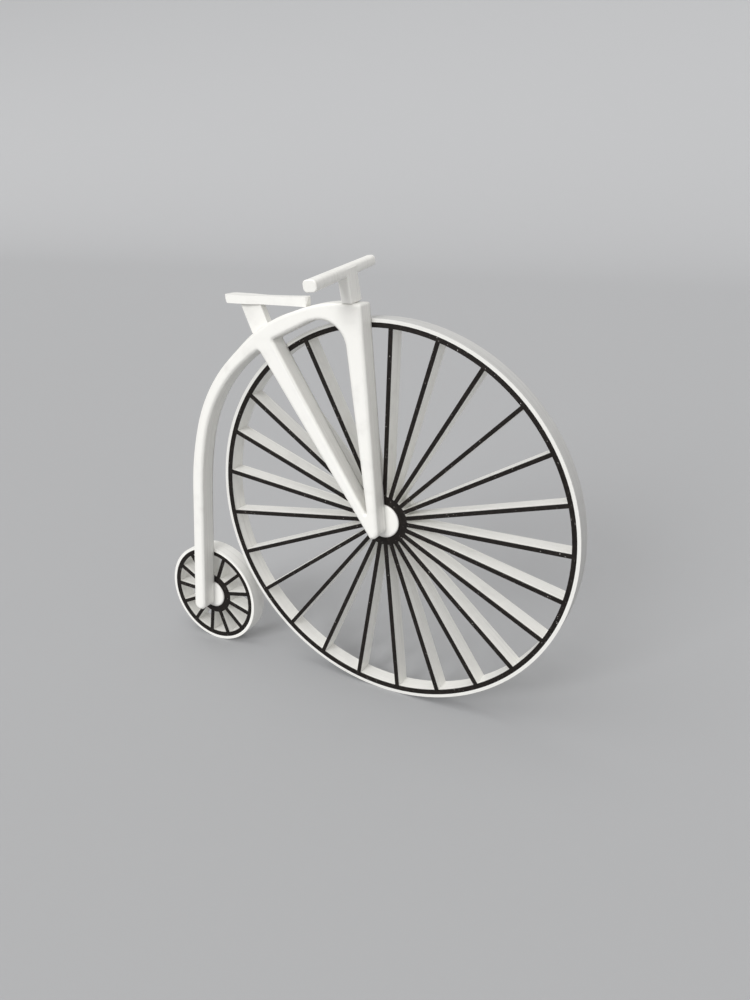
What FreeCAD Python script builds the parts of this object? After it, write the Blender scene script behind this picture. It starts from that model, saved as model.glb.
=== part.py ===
import FreeCAD, Part
import math
import os

# A small flat-built model of a penny farthing: one frame plate carries two spoked wheels on
# its far side, with a saddle and a handlebar plugged into its top edge.
# Millimetres, +X is ahead, +Z is up, and the frame stands on the -Y side of the wheels.
# While it is drawn, X and Z are 0 at the front axle, and Y is 0 at the wheels' near faces.

# ---- wheels ----
FRONT_RADIUS = 80.0
REAR_RADIUS = 24.25
WHEELBASE = 94.2
WHEEL_WIDTH = 7.7
FACE_DEPTH = 0.6          # black layers laid into the near face
TYRE_BAND = 1.4           # white band outside the black face
FRONT_RIM = 3.3           # depth of the rim with its tyre band
REAR_RIM = 3.35
FRONT_SPOKES = 25
REAR_SPOKES = 13
SPOKE_WIDTH = 1.6
FRONT_HUB_RADIUS = 10.4
REAR_HUB_RADIUS = 9.8
FRONT_SPOKE_TURN = 0.4    # degrees from +X to the first spoke
REAR_SPOKE_TURN = 11.5

# ---- axles and what keeps the wheels on them ----
FRONT_AXLE_RADIUS = 7.0
REAR_AXLE_RADIUS = 6.6
RUNNING_FIT = 0.15        # between an axle and its bore, on the radius
END_PLAY = 0.3            # between a wheel and its cap
CAP_THICKNESS = 3.2
CAP_LIP = 3.0             # how far a cap reaches past its axle
PLUG_RADIUS = 3.8
PLUG_LENGTH = 4.8
PUSH_FIT = 0.05           # around a plug or tang in its socket

# ---- frame plate ----
PLATE_THICKNESS = 7.4
PLATE_GAP = 0.4           # between the plate and the wheels
PLATE_BEVEL = 0.8         # along all its near edges
PLATE_WALL = 1.2          # printed walls round the hollow inside of the plate
PLATE_SKIN = 0.8          # its closed near and far faces
HEAD_TOP = 85.9           # height of the head above the front axle
HEAD_FRONT = -3.8         # front edge of the head at its top, from the front axle
HEAD_ROUND = 1.0
FOOT_DROP = 5.6           # how far both feet reach below their axles
FRONT_FOOT_AHEAD = 1.6    # ends of the feet, ahead of their axles and behind them
FRONT_FOOT_BEHIND = 2.2
REAR_FOOT_AHEAD = 0.5
REAR_FOOT_BEHIND = 5.65
FOOT_ROUND = 3.2
CROTCH_BEHIND = 3.3       # where fork leg and strut part, from the front axle
CROTCH_RISE = 3.3
CROTCH_ROUND = 0.4

# ---- saddle ----
SADDLE_TAIL = -65.9       # ends of the saddle, from the front axle
SADDLE_NOSE = -27.6
SADDLE_TOP = 87.2
SADDLE_RISE = 0.55        # from tail to nose
SADDLE_SAG = 0.3          # dip of the top between them
SADDLE_THICKNESS = 3.75   # at the nose
SADDLE_TAIL_WIDTH = 7.4
SADDLE_NOSE_WIDTH = 3.9
NECK_START = 0.27         # where it narrows, as shares of its length from the tail
NECK_END = 0.47
SADDLE_TAIL_ROUND = 1.9
SADDLE_NOSE_ROUND = 1.9
TAIL_SLANT = 1.6          # how far the saddle's ends lean in under it
NOSE_SLANT = 0.8
POST_LEAN = 23.0          # degrees, to the rear
POST_WIDTH = 9.6          # along the bicycle
POST_THICKNESS = 3.0      # across it
POST_FOOT_X = -54.5       # rear corner of the post's foot
POST_FOOT_Z = 72.0        # the floor of its slot in the frame

# ---- handlebar ----
STEM_FOOT_X = -9.3        # centre of the stem's foot, from the front axle
STEM_WIDTH = 4.5          # along the bicycle
STEM_RAKE = 5.5           # degrees, to the rear
BAR_LEAN = 5.8            # degrees that the whole piece leans towards the near side
BAR_HEIGHT = 10.5         # of the bar's centre line over the stem's foot
BAR_DEPTH = 4.2           # its rounded section, upright and along the bicycle
BAR_WIDTH = 5.6
BAR_ROUND = 1.7
BAR_NEAR_REACH = 24.5     # from the middle of the stem to the bar's near end
BAR_FAR_REACH = 18.3
TANG_WIDTH = 2.7          # along the bicycle
TANG_THICKNESS = 4.2      # across it
TANG_LENGTH = 5.6

PLATE_FAR = -PLATE_GAP
PLATE_NEAR = PLATE_FAR - PLATE_THICKNESS
PLATE_MIDDLE = (PLATE_NEAR + PLATE_FAR) / 2
CAP_SEAT = WHEEL_WIDTH + END_PLAY
REAR_AXLE_X = -WHEELBASE
REAR_AXLE_Z = REAR_RADIUS - FRONT_RADIUS
REAR_FOOT_Z = REAR_AXLE_Z - FOOT_DROP
FRONT_FOOT_Z = -FOOT_DROP
SADDLE_UNDER = SADDLE_TOP - SADDLE_THICKNESS
ACROSS = FreeCAD.Vector(0, 1, 0)


def side_point(x, z, y=0.0):
    return FreeCAD.Vector(x, y, z)


def polar(radius, degrees):
    angle = math.radians(degrees)
    return FreeCAD.Vector(radius * math.cos(angle), 0, radius * math.sin(angle))


def disc(x, z, radius, y_from, y_to):
    """A solid disc whose axis runs across the bicycle."""
    return Part.makeCylinder(radius, y_to - y_from, side_point(x, z, y_from), ACROSS)


def circle_wire(radius):
    return Part.Wire(Part.makeCircle(radius, FreeCAD.Vector(0, 0, 0), ACROSS))


def corner_runs(points, radii):
    """How far each corner's arc reaches along its sides, cut down where two arcs would meet."""
    count = len(points)
    wished = []
    for number in range(count):
        back = points[number - 1] - points[number]
        ahead = points[(number + 1) % count] - points[number]
        wished.append(radii[number] / math.tan(back.getAngle(ahead) / 2))
    runs = []
    for number in range(count):
        run = wished[number]
        for neighbour in (number - 1, (number + 1) % count):
            side = (points[neighbour] - points[number]).Length
            both = wished[number] + wished[neighbour]
            if both > 0.99 * side:
                run = min(run, wished[number] * 0.99 * side / both)
        runs.append(run)
    return runs


def rounded_wire(corners):
    """Closed wire through points (x, z, radius), each corner an arc of its radius."""
    count = len(corners)
    points = [side_point(x, z) for x, z, radius in corners]
    runs = corner_runs(points, [radius for x, z, radius in corners])
    arcs = []
    for number in range(count):
        back = (points[number - 1] - points[number]).normalize()
        ahead = (points[(number + 1) % count] - points[number]).normalize()
        half = back.getAngle(ahead) / 2
        depth = runs[number] * (1 - math.sin(half)) / math.cos(half)
        middle = points[number] + (back + ahead).normalize() * depth
        arcs.append((points[number] + back * runs[number], middle, points[number] + ahead * runs[number]))
    edges = []
    for number in range(count):
        start, middle, end = arcs[number]
        if runs[number] > 0:
            edges.append(Part.Arc(start, middle, end).toShape())
        edges.append(Part.LineSegment(end, arcs[(number + 1) % count][0]).toShape())
    return Part.Wire(edges)


# ---- wheels ----

def spoke_window(hub_radius, rim_radius, spokes):
    """The gap between two straight spokes, from hub to rim, centred on +X."""
    half_pitch = 180.0 / spokes
    hub_turn = half_pitch - math.degrees(math.asin(SPOKE_WIDTH / 2 / hub_radius))
    rim_turn = half_pitch - math.degrees(math.asin(SPOKE_WIDTH / 2 / rim_radius))
    hub_corners = (polar(hub_radius, -hub_turn), polar(hub_radius, hub_turn))
    rim_corners = (polar(rim_radius, -rim_turn), polar(rim_radius, rim_turn))
    edges = [Part.Arc(hub_corners[0], polar(hub_radius, 0), hub_corners[1]).toShape(),
             Part.LineSegment(hub_corners[1], rim_corners[1]).toShape(),
             Part.Arc(rim_corners[1], polar(rim_radius, 0), rim_corners[0]).toShape(),
             Part.LineSegment(rim_corners[0], hub_corners[0]).toShape()]
    return Part.Wire(edges)


def wheel_plan(outer_radius, bore_radius, window, spokes, turn):
    """Flat face of a wheel on the plane Y = 0, centred on its axle."""
    wires = [circle_wire(outer_radius), circle_wire(bore_radius)]
    for number in range(spokes):
        copy = window.copy()
        angle = -turn - (number + 0.5) * 360.0 / spokes
        copy.rotate(FreeCAD.Vector(0, 0, 0), ACROSS, angle)
        wires.append(copy)
    return Part.makeFace(wires, "Part::FaceMakerBullseye")


def wheel_pieces(radius, rim, hub_radius, axle_radius, spokes, turn, x, z):
    """White core and the black face that lies flush in its near side."""
    window = spoke_window(hub_radius, radius - rim, spokes)
    bore = axle_radius + RUNNING_FIT
    face_radius = radius - TYRE_BAND
    core = wheel_plan(radius, bore, window, spokes, turn).extrude(ACROSS * WHEEL_WIDTH)
    core = core.cut(disc(0, 0, face_radius, -FACE_DEPTH, FACE_DEPTH))
    face = wheel_plan(face_radius, bore, window, spokes, turn).extrude(ACROSS * FACE_DEPTH)
    for piece in (core, face):
        piece.translate(side_point(x, z))
    return core, face


# ---- frame ----

def frame_corner(along, up, radius):
    """Corner at a share of the wheelbase and of the height over the rear foot, and its arc's."""
    height = HEAD_TOP - REAR_FOOT_Z
    return (-along * WHEELBASE, REAR_FOOT_Z + up * height, radius * WHEELBASE)


def plate_outline():
    """Backbone, head, fork leg and diagonal strut as one outline, from the rear foot round."""
    return rounded_wire([
        (REAR_AXLE_X - REAR_FOOT_BEHIND, REAR_FOOT_Z, FOOT_ROUND),
        frame_corner(0.971, 0.526, 1.42),
        frame_corner(0.854, 0.745, 0.79),
        frame_corner(0.516, 0.9375, 0.69),
        frame_corner(0.221, 1.0, 0.58),
        (HEAD_FRONT, HEAD_TOP, HEAD_ROUND),
        (FRONT_FOOT_AHEAD, FRONT_FOOT_Z, FOOT_ROUND),
        (-FRONT_FOOT_BEHIND, FRONT_FOOT_Z, HEAD_ROUND),
        frame_corner(0.540, 0.865, 0.014),
        frame_corner(0.815, 0.745, 0.71),
        frame_corner(0.916, 0.495, 1.66),
        (REAR_AXLE_X + REAR_FOOT_AHEAD, REAR_FOOT_Z, FOOT_ROUND)])


def plate_window():
    """The open triangle between fork leg, diagonal strut and backbone."""
    return rounded_wire([
        (-CROTCH_BEHIND, CROTCH_RISE, CROTCH_ROUND),
        frame_corner(0.124, 0.967, 0.115),
        frame_corner(0.274, 0.951, 0.175),
        frame_corner(0.467, 0.895, 0.009)])


def near_edges(solid):
    """Edges that lie in the plate's near face."""
    return [edge for edge in solid.Edges
            if abs(edge.BoundBox.YMin - PLATE_NEAR) < 1e-6 and edge.BoundBox.YLength < 1e-6]


def plate_face():
    return Part.makeFace([plate_outline(), plate_window()], "Part::FaceMakerBullseye")


def make_plate():
    face = plate_face()
    face.translate(ACROSS * PLATE_NEAR)
    plate = face.extrude(ACROSS * PLATE_THICKNESS)
    return plate.makeChamfer(PLATE_BEVEL, near_edges(plate))


def plate_hollow():
    """The space that its walls and skins leave inside the plate, with walls round both slots."""
    face = plate_face().makeOffset2D(-PLATE_WALL)
    face.translate(ACROSS * (PLATE_NEAR + PLATE_SKIN))
    hollow = face.extrude(ACROSS * (PLATE_THICKNESS - 2 * PLATE_SKIN))
    hollow = hollow.cut(post_block(PLATE_WALL, PLATE_WALL, PLATE_THICKNESS))
    return hollow.cut(tang_block(PLATE_WALL, PLATE_WALL, 2 * PLATE_THICKNESS))


def plug_socket(x, z):
    return disc(x, z, PLUG_RADIUS + PUSH_FIT, CAP_SEAT - PLUG_LENGTH - PUSH_FIT, CAP_SEAT + 1)


def make_frame():
    """The plate with both axles, sockets for the caps' plugs and slots for saddle and bar."""
    frame = make_plate().cut(plate_hollow())
    axles = ((0, 0, FRONT_AXLE_RADIUS), (REAR_AXLE_X, REAR_AXLE_Z, REAR_AXLE_RADIUS))
    for x, z, radius in axles:
        frame = frame.fuse(disc(x, z, radius, PLATE_FAR, CAP_SEAT))
    for x, z, radius in axles:
        frame = frame.cut(plug_socket(x, z))
    frame = frame.cut(post_block(PUSH_FIT, 0, POST_THICKNESS + 2 * PUSH_FIT))
    frame = frame.cut(tang_block(PUSH_FIT, 0, TANG_THICKNESS + 2 * PUSH_FIT))
    return frame.removeSplitter()


def make_cap(x, z, axle_radius):
    """Cap that keeps a wheel on its axle, with a plug in the axle's end."""
    cap = disc(x, z, axle_radius + CAP_LIP, CAP_SEAT, CAP_SEAT + CAP_THICKNESS)
    return cap.fuse(disc(x, z, PLUG_RADIUS, CAP_SEAT - PLUG_LENGTH, CAP_SEAT))


# ---- saddle ----

def post_block(gap, foot_gap, thickness):
    """Leaning post from its slot's floor up into the saddle, grown along the bicycle by a gap."""
    foot = POST_FOOT_Z - foot_gap
    top = SADDLE_TOP - SADDLE_THICKNESS / 2
    slope = math.tan(math.radians(POST_LEAN))
    rear = POST_FOOT_X - gap
    front = POST_FOOT_X + POST_WIDTH + gap
    outline = rounded_wire([
        (rear + foot_gap * slope, foot, 0),
        (rear - (top - POST_FOOT_Z) * slope, top, 0),
        (front - (top - POST_FOOT_Z) * slope, top, 0),
        (front + foot_gap * slope, foot, 0)])
    face = Part.Face(outline)
    face.translate(ACROSS * (PLATE_MIDDLE - thickness / 2))
    return face.extrude(ACROSS * thickness)


def saddle_side():
    """Side view of the saddle as a slab across the bicycle."""
    tail_top = side_point(SADDLE_TAIL, SADDLE_TOP - SADDLE_RISE)
    nose_top = side_point(SADDLE_NOSE, SADDLE_TOP)
    dip = (tail_top + nose_top) / 2 - side_point(0, SADDLE_SAG)
    nose_under = side_point(SADDLE_NOSE - NOSE_SLANT, SADDLE_UNDER)
    tail_under = side_point(SADDLE_TAIL + TAIL_SLANT, SADDLE_UNDER)
    edges = [Part.Arc(tail_top, dip, nose_top).toShape(),
             Part.LineSegment(nose_top, nose_under).toShape(),
             Part.LineSegment(nose_under, tail_under).toShape(),
             Part.LineSegment(tail_under, tail_top).toShape()]
    face = Part.Face(Part.Wire(edges))
    face.translate(ACROSS * (PLATE_MIDDLE - SADDLE_TAIL_WIDTH))
    return face.extrude(ACROSS * 2 * SADDLE_TAIL_WIDTH)


def saddle_plan():
    """Plan view of the saddle, wide at the tail and narrow at the nose, as a tall block."""
    length = SADDLE_NOSE - SADDLE_TAIL
    wide = SADDLE_TAIL_WIDTH / 2
    narrow = SADDLE_NOSE_WIDTH / 2
    neck_rear = SADDLE_TAIL + NECK_START * length
    neck_front = SADDLE_TAIL + NECK_END * length
    neck_round = SADDLE_TAIL_WIDTH
    corners = [
        (SADDLE_TAIL, -wide, SADDLE_TAIL_ROUND), (neck_rear, -wide, neck_round),
        (neck_front, -narrow, neck_round), (SADDLE_NOSE, -narrow, SADDLE_NOSE_ROUND),
        (SADDLE_NOSE, narrow, SADDLE_NOSE_ROUND), (neck_front, narrow, neck_round),
        (neck_rear, wide, neck_round), (SADDLE_TAIL, wide, SADDLE_TAIL_ROUND)]
    wire = rounded_wire(corners)
    wire.rotate(FreeCAD.Vector(0, 0, 0), FreeCAD.Vector(1, 0, 0), -90)
    face = Part.Face(wire)
    face.translate(side_point(0, SADDLE_UNDER - SADDLE_THICKNESS, PLATE_MIDDLE))
    return face.extrude(FreeCAD.Vector(0, 0, 3 * SADDLE_THICKNESS))


def make_seat():
    saddle = saddle_side().common(saddle_plan())
    return saddle.fuse(post_block(0, 0, POST_THICKNESS)).removeSplitter()


# ---- handlebar ----

def lean_with_bar(shape):
    """Lean a handlebar shape to the near side about the stem's near foot edge."""
    pivot = side_point(STEM_FOOT_X, HEAD_TOP + PUSH_FIT, PLATE_NEAR)
    shape.rotate(pivot, FreeCAD.Vector(1, 0, 0), BAR_LEAN)
    return shape


def upright_block(width, thickness, low, high):
    """Block on the stem's raked centre line between two heights over the stem's foot."""
    shear = math.tan(math.radians(STEM_RAKE))
    corners = [(STEM_FOOT_X - low * shear - width / 2, HEAD_TOP + low, 0),
               (STEM_FOOT_X - high * shear - width / 2, HEAD_TOP + high, 0),
               (STEM_FOOT_X - high * shear + width / 2, HEAD_TOP + high, 0),
               (STEM_FOOT_X - low * shear + width / 2, HEAD_TOP + low, 0)]
    face = Part.Face(rounded_wire(corners))
    face.translate(ACROSS * (PLATE_MIDDLE - thickness / 2))
    return face.extrude(ACROSS * thickness)


def tang_block(gap, foot_gap, thickness):
    """The stem's tang from its socket's floor up through the stem's foot, grown by a gap."""
    block = upright_block(TANG_WIDTH + 2 * gap, thickness, -TANG_LENGTH - foot_gap, STEM_WIDTH / 2)
    return lean_with_bar(block)


def bar_body():
    """The cross bar, of one rounded section from its near end to its far end."""
    ahead = BAR_WIDTH / 2
    above = BAR_DEPTH / 2
    wire = rounded_wire([(-ahead, -above, BAR_ROUND), (-ahead, above, BAR_ROUND),
                         (ahead, above, BAR_ROUND), (ahead, -above, BAR_ROUND)])
    face = Part.Face(wire)
    face.rotate(FreeCAD.Vector(0, 0, 0), ACROSS, -STEM_RAKE)
    shear = math.tan(math.radians(STEM_RAKE))
    centre = side_point(STEM_FOOT_X - BAR_HEIGHT * shear, HEAD_TOP + BAR_HEIGHT)
    face.translate(centre + ACROSS * (PLATE_MIDDLE - BAR_NEAR_REACH))
    return face.extrude(ACROSS * (BAR_NEAR_REACH + BAR_FAR_REACH))


def make_handlebar():
    stem = upright_block(STEM_WIDTH, PLATE_THICKNESS, 0, BAR_HEIGHT + BAR_DEPTH / 2)
    handlebar = lean_with_bar(stem.fuse(bar_body()))
    return handlebar.fuse(tang_block(0, 0, TANG_THICKNESS)).removeSplitter()


# ---- assembly ----

def make_parts():
    front_core, front_face = wheel_pieces(
        FRONT_RADIUS, FRONT_RIM, FRONT_HUB_RADIUS, FRONT_AXLE_RADIUS,
        FRONT_SPOKES, FRONT_SPOKE_TURN, 0, 0)
    rear_core, rear_face = wheel_pieces(
        REAR_RADIUS, REAR_RIM, REAR_HUB_RADIUS, REAR_AXLE_RADIUS,
        REAR_SPOKES, REAR_SPOKE_TURN, REAR_AXLE_X, REAR_AXLE_Z)
    return {
        "frame": make_frame(),
        "seat": make_seat(),
        "handlebar": make_handlebar(),
        "front_wheel_core": front_core,
        "front_wheel_face": front_face,
        "front_cap": make_cap(0, 0, FRONT_AXLE_RADIUS),
        "rear_wheel_core": rear_core,
        "rear_wheel_face": rear_face,
        "rear_cap": make_cap(REAR_AXLE_X, REAR_AXLE_Z, REAR_AXLE_RADIUS)}


def base_centre(parts):
    """Middle of the footprint of the whole bicycle, at the height of its lowest point."""
    box = Part.makeCompound(list(parts.values())).optimalBoundingBox(False, False)
    return FreeCAD.Vector(box.Center.x, box.Center.y, box.ZMin)


parts = make_parts()
origin = base_centre(parts)
os.makedirs("parts", exist_ok=True)
for name, shape in parts.items():
    shape.translate(origin * -1)
    shape.exportStep("parts/" + name + ".step")
    print(name, "solids", len(shape.Solids), "valid", shape.isValid(), "volume", round(shape.Volume, 2))
print("front axle at", round(-origin.x, 3), round(-origin.y, 3), round(-origin.z, 3))
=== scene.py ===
import math

import bmesh
import bpy
from mathutils import Matrix, Vector


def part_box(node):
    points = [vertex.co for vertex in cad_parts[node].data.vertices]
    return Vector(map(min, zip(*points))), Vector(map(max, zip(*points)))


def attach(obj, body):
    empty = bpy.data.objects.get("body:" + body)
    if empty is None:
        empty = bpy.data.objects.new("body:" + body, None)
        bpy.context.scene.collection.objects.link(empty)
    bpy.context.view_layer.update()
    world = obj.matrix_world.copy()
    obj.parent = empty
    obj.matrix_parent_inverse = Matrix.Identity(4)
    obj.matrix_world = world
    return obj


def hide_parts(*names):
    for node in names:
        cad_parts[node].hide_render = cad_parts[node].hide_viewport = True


# A small printed model of a penny farthing, dressed for a plain studio. Metres, +X ahead, +Z up.
# The solids keep their shapes, apart from the handlebar, which gets its taper here. This script
# gives them their plastics, the light and the camera.

# ---- camera, placed from the front axle at the wheels' near faces ----
CAMERA_PLACE = Vector((0.14486, -0.25939, 0.12554))
CAMERA_AZIMUTH = 29.79      # degrees round from the near side, towards the front
CAMERA_ELEVATION = 21.42
CAMERA_ROLL = 1.17
SENSOR_WIDTH = 36.0         # millimetres, along the picture's long side
CAMERA_LENS = 28.94         # millimetres
CLIP_START = 0.01

# ---- what all plastics share ----
LAYER_HEIGHT = 0.0002       # printed layers, stacked across the bicycle
LINE_WIDTH = 0.0004         # printed lines on flat faces and in the black plastic
FLAT_RANGE = (0.8, 0.95)    # the normal's share across the bicycle, from edge to flat face

# ---- white plastic. A noise is (scale, detail) ----
WHITE = (0.885, 0.88, 0.845, 1.0)
WHITE_SHADE = (0.77, 0.76, 0.73, 1.0)
WANDER_NOISE = (90.0, 2.0)
LAYER_WANDER = 0.00004      # how far a layer strays from its level
STREAK_SCALES = (25.0, 1700.0, 25.0)
STREAK_NOISE = (1.0, 3.0)
STREAK_RISES = (0.35, 0.75)
STREAK_HEIGHT = 0.8         # both heights are shares of a layer's
LINE_HEIGHT = 0.25
STREAK_SHADES = (0.45, 0.8)
MOTTLE_NOISE = (120.0, 4.0)
MOTTLE_SHADES = (0.5, 0.9)
WHITE_RELIEF = (0.00003, 0.5)       # (height of the bumps, strength)
WHITE_ROUGHNESS = (0.2, 0.3)        # (share that comes from the noise, least)
FRAME_EDGE_RADIUS = 0.0018
BEVEL_SAMPLES = 8

# ---- tread of the front wheel, with painted shade ----
# painted shade and painted reflection: this darker grey on the tread stands in for shade and for
# dark surroundings reflected there
PAINTED_TREAD_SHADE = (0.46, 0.46, 0.455, 1.0)
FRONT_TREAD = 0.0785        # painted shade darkens the wheel beyond this radius, most on the tread
FLAT_TREAD_SHADE = 0.3            # how much of the painted shade its flat faces have
LEAST_TREAD_SHADE = 0.5           # how much is left where the streaks are faint
SPECULAR = 0.5
TREAD_SPECULAR = 0.25

# ---- black plastic ----
BLACK = (0.008, 0.006, 0.005, 1.0)
# painted sheen: a lighter black on the ridges of the printed lines, in grainy patches
BLACK_SHEEN = (0.026, 0.020, 0.017, 1.0)
SPECK = (0.40, 0.38, 0.36, 1.0)
BLACK_RELIEF = (0.00005, 0.6)
GRAIN_NOISE = (700.0, 3.0)
SHEEN_GRAIN = (0.45, 0.75)
SHEEN_RIDGES = (0.3, 1.0)
SPECK_NOISE = (1500.0, 1.0)
SPECK_RANGE = (0.745, 0.78)
BLACK_ROUGHNESS = (0.3, 0.35)
BLACK_SPECULAR = 0.2

# ---- the black faces, as they are printed: (spokes, first spoke's turn, hub, rim) ----
FRONT_FACE = (25, 0.4, 0.0104, 0.0767)
REAR_FACE = (13, 11.5, 0.0098, 0.0209)

# ---- handlebar, placed from the front axle at the wheels' near faces ----
STEM_FOOT = Vector((-0.0093, -0.0041, 0.0859))
STEM_RAKE = math.radians(5.5)       # to the rear
STEM_SIZE = (0.0045, 0.0074)        # along the bicycle and across it
STEM_ROUND = 0.00045
STEM_TOP = 0.012                    # over the foot
STEM_TOP_BEVEL = 0.0004
FOOT_GAP = 0.00005
BAR_HEIGHT = 0.0105
BAR_LEAN = math.radians(5.8)        # of the whole piece, towards the near side
LEAN_PIVOT = Vector((-0.0093, -0.0078, 0.08595))
BAR_ENDS = (                # (across, shift along, rise, width along, depth, corner radius)
    (-0.0245, -0.0001, 0.0, 0.0056, 0.0043, 0.0016),
    (0.0183, -0.0005, 0.00065, 0.0044, 0.0039, 0.0015))
BAR_END_BEVEL = 0.0003
TANG_SIZE = (0.0027, 0.0042)
TANG_ROUND = 0.00001
TANG_LENGTH = 0.0056
TANG_OVERLAP = 0.001                # up into the stem
CORNER_STEPS = 6
SHARP_ANGLE = math.radians(30)

# ---- surroundings ----
PAPER_COLOUR = (0.40, 0.405, 0.414, 1.0)
PAPER_ROUGHNESS = 0.8
PAPER_HALF_WIDTH = 4.0
PAPER_NEAR = -3.0           # the paper lies flat between these, and curves up behind
PAPER_FAR = 1.5
PAPER_CURVE = 1.5           # radius of the curve
PAPER_STEPS = 24
PAPER_TOP = 4.0
LAMPS = (                   # (name, where its light goes, strength, spread in degrees)
    ("key", (0.10, 0.86, -0.46), 1.74, 24),
    ("top", (0.15, 0.25, -0.95), 1.10, 60),
    ("side", (-0.85, 0.30, -0.45), 0.35, 60))
WORLD_COLOUR = (1.0, 0.98, 0.96, 1.0)
WORLD_STRENGTH = 0.46

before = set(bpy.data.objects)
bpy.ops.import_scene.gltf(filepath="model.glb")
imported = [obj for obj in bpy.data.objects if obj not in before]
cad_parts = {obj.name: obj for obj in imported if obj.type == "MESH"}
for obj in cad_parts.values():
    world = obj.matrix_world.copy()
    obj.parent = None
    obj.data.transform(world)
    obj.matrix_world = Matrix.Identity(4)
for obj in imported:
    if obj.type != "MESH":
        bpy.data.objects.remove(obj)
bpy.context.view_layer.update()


# ---- node helpers ----

class Graph:
    """Shader nodes of one material, with short calls for sums and textures."""

    def __init__(self, name):
        self.material = bpy.data.materials.new(name)
        self.material.use_nodes = True
        self.nodes = self.material.node_tree.nodes
        self.links = self.material.node_tree.links
        self.shader = self.nodes["Principled BSDF"]
        self.place = self.nodes.new("ShaderNodeTexCoord").outputs["Object"]

    def feed(self, socket, value):
        if isinstance(value, bpy.types.NodeSocket):
            self.links.new(value, socket)
        else:
            socket.default_value = value

    def math(self, operation, *values):
        node = self.nodes.new("ShaderNodeMath")
        node.operation = operation
        for socket, value in zip(node.inputs, values):
            self.feed(socket, value)
        return node.outputs[0]

    def split(self, vector):
        node = self.nodes.new("ShaderNodeSeparateXYZ")
        self.links.new(vector, node.inputs[0])
        return node.outputs

    def stretched(self, scales):
        """The object's own coordinates times a scale for each axis."""
        node = self.nodes.new("ShaderNodeVectorMath")
        node.operation = "MULTIPLY"
        self.links.new(self.place, node.inputs[0])
        node.inputs[1].default_value = scales
        return node.outputs[0]

    def noise(self, vector, scale, detail):
        node = self.nodes.new("ShaderNodeTexNoise")
        node.inputs["Scale"].default_value = scale
        node.inputs["Detail"].default_value = detail
        self.links.new(vector, node.inputs["Vector"])
        return node.outputs["Fac"]

    def between(self, value, low, high):
        """0 where the value is low, 1 where it is high, and smooth between."""
        node = self.nodes.new("ShaderNodeMapRange")
        node.interpolation_type = "SMOOTHSTEP"
        self.feed(node.inputs["Value"], value)
        self.feed(node.inputs["From Min"], low)
        self.feed(node.inputs["From Max"], high)
        return node.outputs["Result"]

    def mix(self, factor, first, second, kind="RGBA"):
        """The first colour, or number, where the factor is 0, and the second where it is 1."""
        node = self.nodes.new("ShaderNodeMix")
        node.data_type = kind
        for socket, value in zip(("Factor", "A", "B"), (factor, first, second)):
            self.feed(node.inputs[socket], value)
        return node.outputs["Result"]

    def rounded(self, radius):
        """Normals as they are on edges of that radius."""
        node = self.nodes.new("ShaderNodeBevel")
        node.samples = BEVEL_SAMPLES
        node.inputs["Radius"].default_value = radius
        return node.outputs["Normal"]

    def bump(self, height, relief, normal=None):
        distance, strength = relief
        node = self.nodes.new("ShaderNodeBump")
        if normal:
            self.links.new(normal, node.inputs["Normal"])
        node.inputs["Strength"].default_value = strength
        node.inputs["Distance"].default_value = distance
        self.links.new(height, node.inputs["Height"])
        self.links.new(node.outputs["Normal"], self.shader.inputs["Normal"])


def flatness(graph):
    """1 on faces that lie across the axles, as the wheels' and the frame's flat sides do."""
    normal = graph.nodes.new("ShaderNodeTexCoord").outputs["Normal"]
    return graph.between(graph.math("ABSOLUTE", graph.split(normal)["Y"]), *FLAT_RANGE)


def ripple(graph, distance, pitch):
    """Rounded ridges, one for each pitch of the distance: 0 in the grooves, 1 on top."""
    turn = graph.math("MULTIPLY", distance, math.pi / pitch)
    return graph.math("ABSOLUTE", graph.math("SINE", turn))


# ---- plastics ----

def from_axle(graph, place, axle):
    """Distances along, up and straight out from an axle."""
    x = graph.math("SUBTRACT", place["X"], axle.x)
    z = graph.math("SUBTRACT", place["Z"], axle.z)
    radius = graph.math("SQRT", graph.math("ADD", graph.math("MULTIPLY", x, x),
                                           graph.math("MULTIPLY", z, z)))
    return x, z, radius


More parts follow.
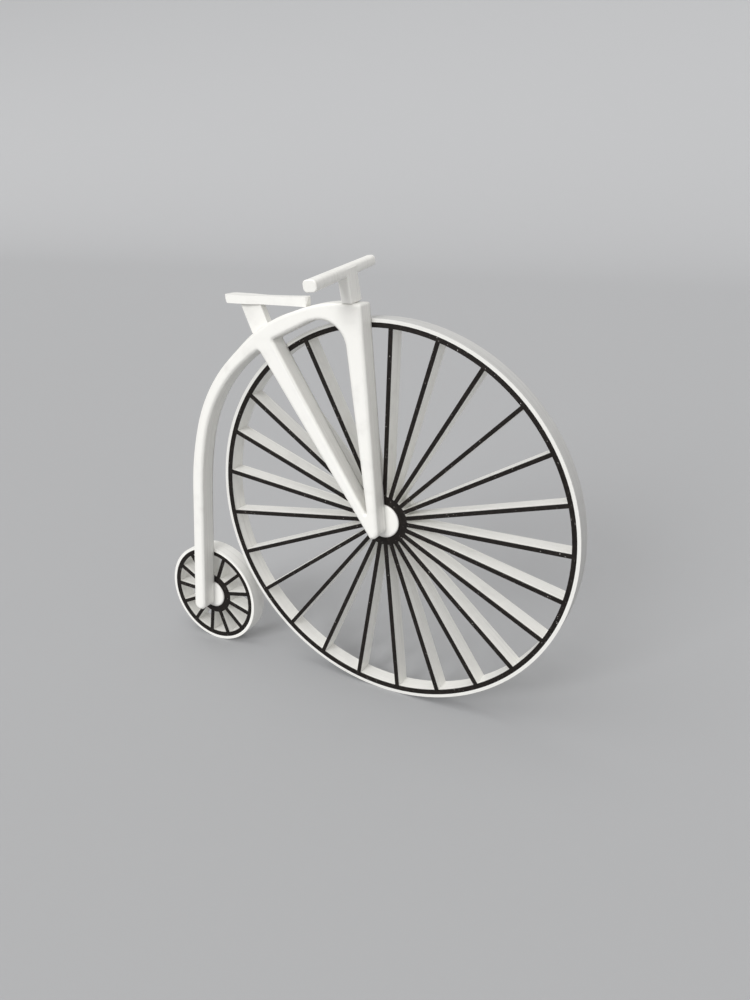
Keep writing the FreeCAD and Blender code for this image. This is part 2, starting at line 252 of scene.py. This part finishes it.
def white_print(name, tread=None, edge_radius=0):
    """White plastic: layers stacked across the bicycle, slanting lines on the flat sides.

    A tread is (axle, radius): beyond that radius the plastic gets painted shade, a darker grey in
    streaks.
    """
    graph = Graph(name)
    place = graph.split(graph.place)
    flat = flatness(graph)
    wander = graph.noise(graph.place, *WANDER_NOISE)
    level = graph.math("MULTIPLY_ADD", wander, LAYER_WANDER, place["Y"])
    layers = ripple(graph, level, LAYER_HEIGHT)
    across = graph.math("MULTIPLY", graph.math("ADD", place["X"], place["Z"]), math.sqrt(0.5))
    lines = graph.math("MULTIPLY", ripple(graph, across, LINE_WIDTH), LINE_HEIGHT)
    streaks = graph.noise(graph.stretched(STREAK_SCALES), *STREAK_NOISE)
    mottle = graph.noise(graph.place, *MOTTLE_NOISE)
    rises = graph.between(streaks, *STREAK_RISES)
    side = graph.math("MULTIPLY_ADD", rises, STREAK_HEIGHT, layers)
    graph.bump(graph.mix(flat, side, lines, "FLOAT"), WHITE_RELIEF,
               graph.rounded(edge_radius) if edge_radius else None)
    tone = graph.math("MULTIPLY", graph.between(streaks, *STREAK_SHADES),
                      graph.math("SUBTRACT", 1.0, flat))
    tone = graph.math("MAXIMUM", tone, graph.between(mottle, *MOTTLE_SHADES))
    colour = graph.mix(tone, WHITE, WHITE_SHADE)
    if tread:
        axle, tread_radius = tread
        radius = from_axle(graph, place, axle)[2]
        # painted shade: beyond the tread radius the colour turns a darker grey in streaks, less
        # on the flat faces
        beyond_tread = graph.math("MULTIPLY", graph.math("GREATER_THAN", radius, tread_radius),
                           graph.math("MULTIPLY_ADD", flat, FLAT_TREAD_SHADE - 1.0, 1.0))
        tread_shade = graph.math("MULTIPLY", beyond_tread,
                             graph.math("MULTIPLY_ADD", streaks, 1.0 - LEAST_TREAD_SHADE, LEAST_TREAD_SHADE))
        colour = graph.mix(tread_shade, colour, PAINTED_TREAD_SHADE)
        graph.feed(graph.shader.inputs["Specular IOR Level"],
                   graph.math("MULTIPLY_ADD", beyond_tread, TREAD_SPECULAR - SPECULAR, SPECULAR))
    graph.feed(graph.shader.inputs["Base Color"], colour)
    graph.feed(graph.shader.inputs["Roughness"],
               graph.math("MULTIPLY_ADD", mottle, *WHITE_ROUGHNESS))
    return graph.material


def black_print(name, axle, face):
    """Black plastic laid in lines: along each spoke, and in rings round hub and rim."""
    spokes, first_turn, hub_radius, rim_radius = face
    graph = Graph(name)
    place = graph.split(graph.place)
    x, z, radius = from_axle(graph, place, axle)
    turn = graph.math("SUBTRACT", graph.math("ARCTAN2", z, x), math.radians(first_turn))
    pitch = 2 * math.pi / spokes
    off_spoke = graph.math("PINGPONG", turn, pitch / 2)
    beside = graph.math("MULTIPLY", radius, graph.math("SINE", off_spoke))
    in_ring = graph.math("MAXIMUM", graph.math("LESS_THAN", radius, hub_radius),
                         graph.math("GREATER_THAN", radius, rim_radius))
    lines = ripple(graph, graph.mix(in_ring, beside, radius, "FLOAT"), LINE_WIDTH)
    graph.bump(lines, BLACK_RELIEF)

    grain = graph.noise(graph.place, *GRAIN_NOISE)
    # painted sheen: the ridges of the printed lines are painted a lighter black, in grainy
    # patches
    sheen = graph.math("MULTIPLY", graph.between(grain, *SHEEN_GRAIN),
                      graph.between(lines, *SHEEN_RIDGES))
    colour = graph.mix(sheen, BLACK, BLACK_SHEEN)
    specks = graph.between(graph.noise(graph.place, *SPECK_NOISE), *SPECK_RANGE)
    graph.feed(graph.shader.inputs["Base Color"], graph.mix(specks, colour, SPECK))
    graph.feed(graph.shader.inputs["Roughness"],
               graph.math("MULTIPLY_ADD", grain, *BLACK_ROUGHNESS))
    graph.shader.inputs["Specular IOR Level"].default_value = BLACK_SPECULAR
    return graph.material


def dress(material, *nodes):
    for node in nodes:
        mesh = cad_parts[node].data
        mesh.materials.clear()
        mesh.materials.append(material)


def near_axle(core):
    """A wheel's axle in the plane of its near face."""
    low, high = (Vector(corner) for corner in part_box(core))
    return Vector(((low.x + high.x) / 2, low.y, (low.z + high.z) / 2))


# ---- handlebar ----

def rounded_section(width, depth, radius):
    """Points (along, up) round a rectangle with rounded corners."""
    points = []
    for quarter, (ahead, above) in enumerate(((1, 1), (-1, 1), (-1, -1), (1, -1))):
        centre = (ahead * (width / 2 - radius), above * (depth / 2 - radius))
        for step in range(CORNER_STEPS + 1):
            angle = math.pi / 2 * (quarter + step / CORNER_STEPS)
            points.append((centre[0] + radius * math.cos(angle),
                           centre[1] + radius * math.sin(angle)))
    return points


def add_loft(corners, faces, rings):
    """A closed skin over rings of equally many points, with a flat cap at each end."""
    count = len(rings[0])
    first = len(corners)
    corners.extend(point for ring in rings for point in ring)
    for row in range(len(rings) - 1):
        here = first + row * count
        for step in range(count):
            beside = (step + 1) % count
            faces.append((here + step, here + beside, here + count + beside, here + count + step))
    faces.append(tuple(reversed(range(first, first + count))))
    faces.append(tuple(range(first + (len(rings) - 1) * count, first + len(rings) * count)))


def bar_rings():
    """Rings along the bar, which tapers from its near end to its far end."""
    near, far = BAR_ENDS
    centre = STEM_FOOT + Vector((-BAR_HEIGHT * math.tan(STEM_RAKE), 0, BAR_HEIGHT))
    cos_rake, sin_rake = math.cos(STEM_RAKE), math.sin(STEM_RAKE)
    rings = []
    for end, inward, inset in ((near, 0, BAR_END_BEVEL), (near, BAR_END_BEVEL, 0),
                               (far, -BAR_END_BEVEL, 0), (far, 0, BAR_END_BEVEL)):
        across, shift, rise, width, depth, radius = end
        section = rounded_section(width - 2 * inset, depth - 2 * inset, radius - inset)
        rings.append([centre + Vector((shift + along * cos_rake - up * sin_rake,
                                       across + inward,
                                       rise + along * sin_rake + up * cos_rake))
                      for along, up in section])
    return rings


def block_rings(size, radius, levels):
    """Level rings of one rounded plan, up the stem's raked centre line.

    A level is (height over the foot, how far the ring is set in).
    """
    rings = []
    for height, inset in levels:
        plan = rounded_section(size[0] - 2 * inset, size[1] - 2 * inset, radius)
        rings.append([STEM_FOOT + Vector((along - height * math.tan(STEM_RAKE), across, height))
                      for along, across in plan])
    return rings


def make_handlebar(axle, material):
    """Bar, stem and tang as one piece, in the place of the solid without a taper."""
    stem_levels = ((FOOT_GAP, 0), (STEM_TOP, 0), (STEM_TOP + STEM_TOP_BEVEL, STEM_TOP_BEVEL))
    tang_levels = ((-TANG_LENGTH, 0), (TANG_OVERLAP, 0))
    corners, faces = [], []
    for rings in (bar_rings(), block_rings(STEM_SIZE, STEM_ROUND, stem_levels),
                  block_rings(TANG_SIZE, TANG_ROUND, tang_levels)):
        add_loft(corners, faces, rings)
    lean = (Matrix.Translation(LEAN_PIVOT) @ Matrix.Rotation(BAR_LEAN, 4, "X")
            @ Matrix.Translation(-LEAN_PIVOT))
    mesh = bpy.data.meshes.new("tapered_handlebar")
    mesh.from_pydata([axle + lean @ corner for corner in corners], [], faces)
    skin = bmesh.new()
    skin.from_mesh(mesh)
    bmesh.ops.recalc_face_normals(skin, faces=skin.faces)
    skin.to_mesh(mesh)
    skin.free()
    mesh.shade_smooth()
    mesh.set_sharp_from_angle(angle=SHARP_ANGLE)
    mesh.materials.append(material)
    handlebar = bpy.data.objects.new("tapered_handlebar", mesh)
    bpy.context.collection.objects.link(handlebar)
    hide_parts("handlebar")
    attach(handlebar, "bicycle_frame")


# ---- camera, floor and light ----

def make_camera(axle):
    """The camera at the photograph's angle."""
    azimuth, elevation, roll = (math.radians(a) for a in
                                (CAMERA_AZIMUTH, CAMERA_ELEVATION, CAMERA_ROLL))
    back = Vector((math.sin(azimuth) * math.cos(elevation),
                   -math.cos(azimuth) * math.cos(elevation),
                   math.sin(elevation)))
    level_right = (-back).cross(Vector((0, 0, 1))).normalized()
    level_up = level_right.cross(-back)
    right = level_right * math.cos(roll) - level_up * math.sin(roll)
    up = level_up * math.cos(roll) + level_right * math.sin(roll)
    camera = bpy.data.objects.new("camera", bpy.data.cameras.new("camera"))
    camera.data.sensor_width = SENSOR_WIDTH
    camera.data.lens = CAMERA_LENS
    camera.data.clip_start = CLIP_START
    turn = Matrix((right, up, back)).transposed().to_4x4()
    camera.matrix_world = Matrix.Translation(axle + CAMERA_PLACE) @ turn
    bpy.context.collection.objects.link(camera)
    bpy.context.scene.camera = camera


def make_paper():
    """A wide sheet of paper: flat under the bicycle, and swept up behind it."""
    profile = [(PAPER_NEAR, 0.0)]
    for step in range(PAPER_STEPS + 1):
        angle = math.pi / 2 * step / PAPER_STEPS
        profile.append((PAPER_FAR + PAPER_CURVE * math.sin(angle),
                        PAPER_CURVE * (1 - math.cos(angle))))
    profile.append((PAPER_FAR + PAPER_CURVE, PAPER_TOP))
    corners = [(side, y, z) for y, z in profile for side in (-PAPER_HALF_WIDTH, PAPER_HALF_WIDTH)]
    faces = [(2 * row, 2 * row + 1, 2 * row + 3, 2 * row + 2) for row in range(len(profile) - 1)]
    mesh = bpy.data.meshes.new("paper")
    mesh.from_pydata(corners, [], faces)
    mesh.shade_smooth()
    paper = bpy.data.objects.new("paper", mesh)
    bpy.context.collection.objects.link(paper)
    paint = Graph("paper")
    paint.shader.inputs["Base Color"].default_value = PAPER_COLOUR
    paint.shader.inputs["Roughness"].default_value = PAPER_ROUGHNESS
    mesh.materials.append(paint.material)


def soft_sun(name, towards, strength, spread):
    """Even light from one side, as wide as a softbox that spreads over so many degrees."""
    data = bpy.data.lights.new(name, "SUN")
    data.energy = strength
    data.angle = math.radians(spread)
    lamp = bpy.data.objects.new(name, data)
    lamp.rotation_euler = Vector(towards).to_track_quat("-Z", "Y").to_euler()
    bpy.context.collection.objects.link(lamp)


def make_light():
    for lamp in LAMPS:
        soft_sun(*lamp)
    world = bpy.data.worlds.new("studio")
    world.use_nodes = True
    background = world.node_tree.nodes["Background"]
    background.inputs["Color"].default_value = WORLD_COLOUR
    background.inputs["Strength"].default_value = WORLD_STRENGTH
    bpy.context.scene.world = world


front_axle = near_axle("front_wheel_core")
white = white_print("white_print")
dress(white, "seat", "handlebar", "front_cap", "rear_cap", "rear_wheel_core")
dress(white_print("rounded_white_print", edge_radius=FRAME_EDGE_RADIUS), "frame")
dress(white_print("shaded_tread_white_print", (front_axle, FRONT_TREAD)), "front_wheel_core")
dress(black_print("front_black_print", front_axle, FRONT_FACE), "front_wheel_face")
dress(black_print("rear_black_print", near_axle("rear_wheel_core"), REAR_FACE), "rear_wheel_face")
make_handlebar(front_axle, white)
make_camera(front_axle)
make_paper()
make_light()
bpy.context.scene.view_settings.view_transform = "Standard"
